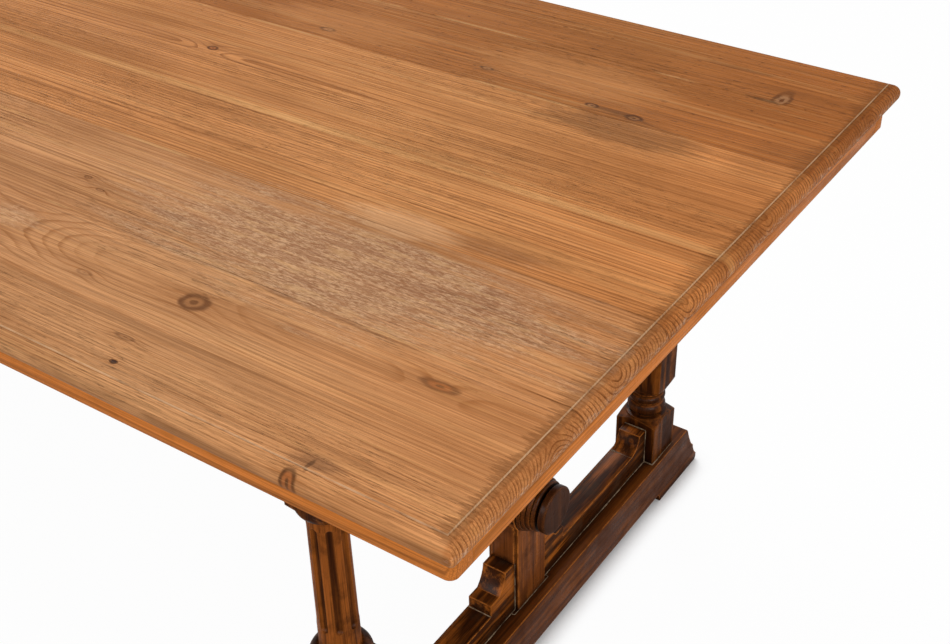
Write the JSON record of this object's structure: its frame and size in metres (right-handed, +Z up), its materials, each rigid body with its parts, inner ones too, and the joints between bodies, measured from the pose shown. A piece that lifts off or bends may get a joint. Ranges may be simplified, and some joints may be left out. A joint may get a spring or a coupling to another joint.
{
  "type": "refectory table",
  "caption": "Long refectory dining table with a moulded plank top and shallow apron, on end trestles of turned, fluted columns with heavy feet tied by a low stretcher.",
  "frame": {"origin": "on the floor under the middle of the top", "axes": "+X along the table, +Y across it to its back, +Z up"},
  "size_m": [2.4384, 1.0664, 0.762],
  "materials": {
    "pine_top": "waxed",
    "pine_apron": "waxed",
    "stained_oak": "stained and waxed",
    "plain_wood": "unfinished",
    "screw_steel": "bright"
  },
  "bodies": {
    "root": {"top_plank_1": "pine_top", "top_plank_2": "pine_top", "top_plank_3": "pine_top", "top_plank_4": "pine_top", "top_plank_5": "pine_top", "top_plank_6": "pine_top", "apron_front": "pine_apron", "apron_back": "pine_apron", "apron_left": "pine_apron", "apron_right": "pine_apron", "foot_left": "stained_oak", "centre_post_left": "stained_oak", "stretcher_boss_left": "stained_oak", "end_cap_left": "stained_oak", "column_left_front": "stained_oak", "scroll_rail_left_front": "stained_oak", "column_left_back": "stained_oak", "scroll_rail_left_back": "stained_oak", "foot_right": "stained_oak", "centre_post_right": "stained_oak", "stretcher_boss_right": "stained_oak", "end_cap_right": "stained_oak", "column_right_front": "stained_oak", "scroll_rail_right_front": "stained_oak", "column_right_back": "stained_oak", "scroll_rail_right_back": "stained_oak", "stretcher": "stained_oak", "centre_batten": "plain_wood", "bearer_left": "plain_wood", "bearer_right": "plain_wood", "corner_block_left_front": "plain_wood", "corner_block_left_back": "plain_wood", "corner_block_right_front": "plain_wood", "corner_block_right_back": "plain_wood", "plank_tongue_1": "plain_wood", "plank_tongue_2": "plain_wood", "plank_tongue_3": "plain_wood", "plank_tongue_4": "plain_wood", "plank_tongue_5": "plain_wood", "apron_screws": "screw_steel", "batten_screws": "screw_steel", "bearer_screws": "screw_steel", "rail_screws": "screw_steel"}
  },
  "joints": []
}
